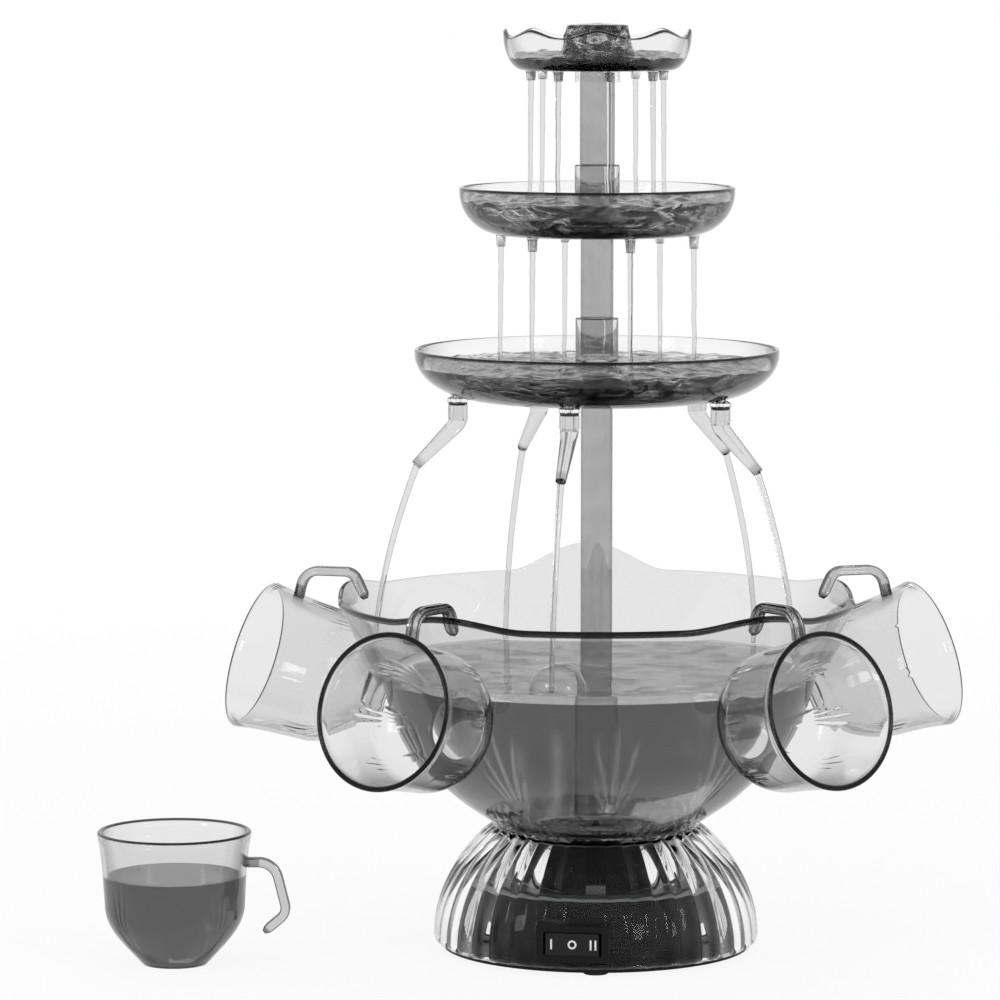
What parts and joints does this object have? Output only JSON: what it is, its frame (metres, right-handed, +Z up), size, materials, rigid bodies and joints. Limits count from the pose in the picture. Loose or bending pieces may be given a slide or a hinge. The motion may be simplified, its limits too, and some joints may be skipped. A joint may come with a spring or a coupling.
{
  "type": "drinks fountain",
  "caption": "Table drinks fountain: clear punch bowl on a fluted pump base, tiered trays with drip nozzles and swivel spouts, and cups that hang by open handles on the rim.",
  "frame": {"origin": "middle of the base, on the plane that its feet stand on", "axes": "+Z up along the tower, -Y towards the front, where the switch is, +X to the right seen from the front"},
  "size_m": [0.4361, 0.3117, 0.467],
  "materials": {
    "clear_plastic": "clear, polished",
    "black_plastic": "satin",
    "black_gloss": "gloss",
    "rubber": "matte",
    "steel": "turned",
    "brass": "turned",
    "board": "satin",
    "light": "milky",
    "white_plastic": "moulded",
    "magnet": "sintered"
  },
  "bodies": {
    "base": {"base_pan": "black_plastic", "base_shell": "clear_plastic", "rubber_feet": "rubber", "base_screws": "steel", "motor_housing": "black_plastic", "motor_can": "steel", "motor_bush": "brass", "motor_screws": "steel", "light_board": "board", "lights": "light", "power_inlet": "black_plastic", "switch_bezel": "black_plastic", "switch_pin": "steel", "bowl_gasket": "rubber"},
    "rocker": {"switch_rocker": "black_gloss"},
    "rotor": {"motor_shaft": "steel", "drive_magnet": "magnet"},
    "bowl": {"bowl": "clear_plastic", "spindle_pin": "steel"},
    "impeller": {"impeller": "white_plastic", "driven_magnet": "magnet"},
    "tower": {"pump_cover": "clear_plastic", "lower_tube": "clear_plastic", "lower_tray": "clear_plastic", "spout_seals": "rubber"},
    "middle_tier": {"middle_tube": "clear_plastic", "middle_tray": "clear_plastic"},
    "crown": {"upper_tube": "clear_plastic", "crown_tray": "clear_plastic", "flow_cap": "clear_plastic"},
    "spout_1": {"spout_1": "clear_plastic"},
    "spout_2": {"spout_2": "clear_plastic"},
    "spout_3": {"spout_3": "clear_plastic"},
    "spout_4": {"spout_4": "clear_plastic"},
    "spout_5": {"spout_5": "clear_plastic"},
    "cup_1": {"cup_1": "clear_plastic"},
    "cup_2": {"cup_2": "clear_plastic"},
    "cup_3": {"cup_3": "clear_plastic"},
    "cup_4": {"cup_4": "clear_plastic"},
    "cup_5": {"cup_5": "clear_plastic"}
  },
  "joints": [
    {"name": "rocker_tilt", "type": "hinge", "parent": "base", "child": "rocker", "pos_m": [-0.0109, -0.07754, 0.017], "axis": [0, 0, 1], "range_deg": [-10, 10]},
    {"name": "rotor_spin", "type": "hinge", "parent": "base", "child": "rotor", "pos_m": [0, 0, 0.05], "axis": [0, 0, 1], "continuous": true},
    {"name": "bowl_lift", "type": "slide", "parent": "base", "child": "bowl", "axis": [0, 0, 1], "range_m": [0, 0.1]},
    {"name": "impeller_spin", "type": "hinge", "parent": "bowl", "child": "impeller", "pos_m": [0, 0, 0.075], "axis": [0, 0, 1], "continuous": true},
    {"name": "tower_lift", "type": "slide", "parent": "bowl", "child": "tower", "axis": [0, 0, 1], "range_m": [0, 0.13]},
    {"name": "middle_lift", "type": "slide", "parent": "tower", "child": "middle_tier", "axis": [0, 0, 1], "range_m": [0, 0.05]},
    {"name": "crown_lift", "type": "slide", "parent": "middle_tier", "child": "crown", "axis": [0, 0, 1], "range_m": [0, 0.05]},
    {"name": "spout_1_swivel", "type": "hinge", "parent": "tower", "child": "spout_1", "pos_m": [-0.01336, -0.06871, 0.27], "axis": [0, 0, 1], "continuous": true},
    {"name": "spout_2_swivel", "type": "hinge", "parent": "tower", "child": "spout_2", "pos_m": [0.06122, -0.03394, 0.27], "axis": [0, 0, 1], "continuous": true},
    {"name": "spout_3_swivel", "type": "hinge", "parent": "tower", "child": "spout_3", "pos_m": [0.05119, 0.04774, 0.27], "axis": [0, 0, 1], "continuous": true},
    {"name": "spout_4_swivel", "type": "hinge", "parent": "tower", "child": "spout_4", "pos_m": [-0.02958, 0.06344, 0.27], "axis": [0, 0, 1], "continuous": true},
    {"name": "spout_5_swivel", "type": "hinge", "parent": "tower", "child": "spout_5", "pos_m": [-0.06948, -0.00853, 0.27], "axis": [0, 0, 1], "continuous": true},
    {"name": "cup_1_lift", "type": "slide", "parent": "bowl", "child": "cup_1", "axis": [-0.4214, 0.1208, 0.8988], "range_m": [0, 0.05]},
    {"name": "cup_2_lift", "type": "slide", "parent": "bowl", "child": "cup_2", "axis": [-0.2451, -0.3634, 0.8988], "range_m": [0, 0.05]},
    {"name": "cup_3_lift", "type": "slide", "parent": "bowl", "child": "cup_3", "axis": [0.2699, -0.3454, 0.8988], "range_m": [0, 0.05]},
    {"name": "cup_4_lift", "type": "slide", "parent": "bowl", "child": "cup_4", "axis": [0.4119, 0.1499, 0.8988], "range_m": [0, 0.05]},
    {"name": "cup_5_lift", "type": "slide", "parent": "base", "child": "cup_5", "axis": [0, 0, 1], "range_m": [0, 0.1]}
  ],
  "couplings": [
    {"joint": "impeller_spin", "follows": "rotor_spin", "ratio": 1}
  ]
}
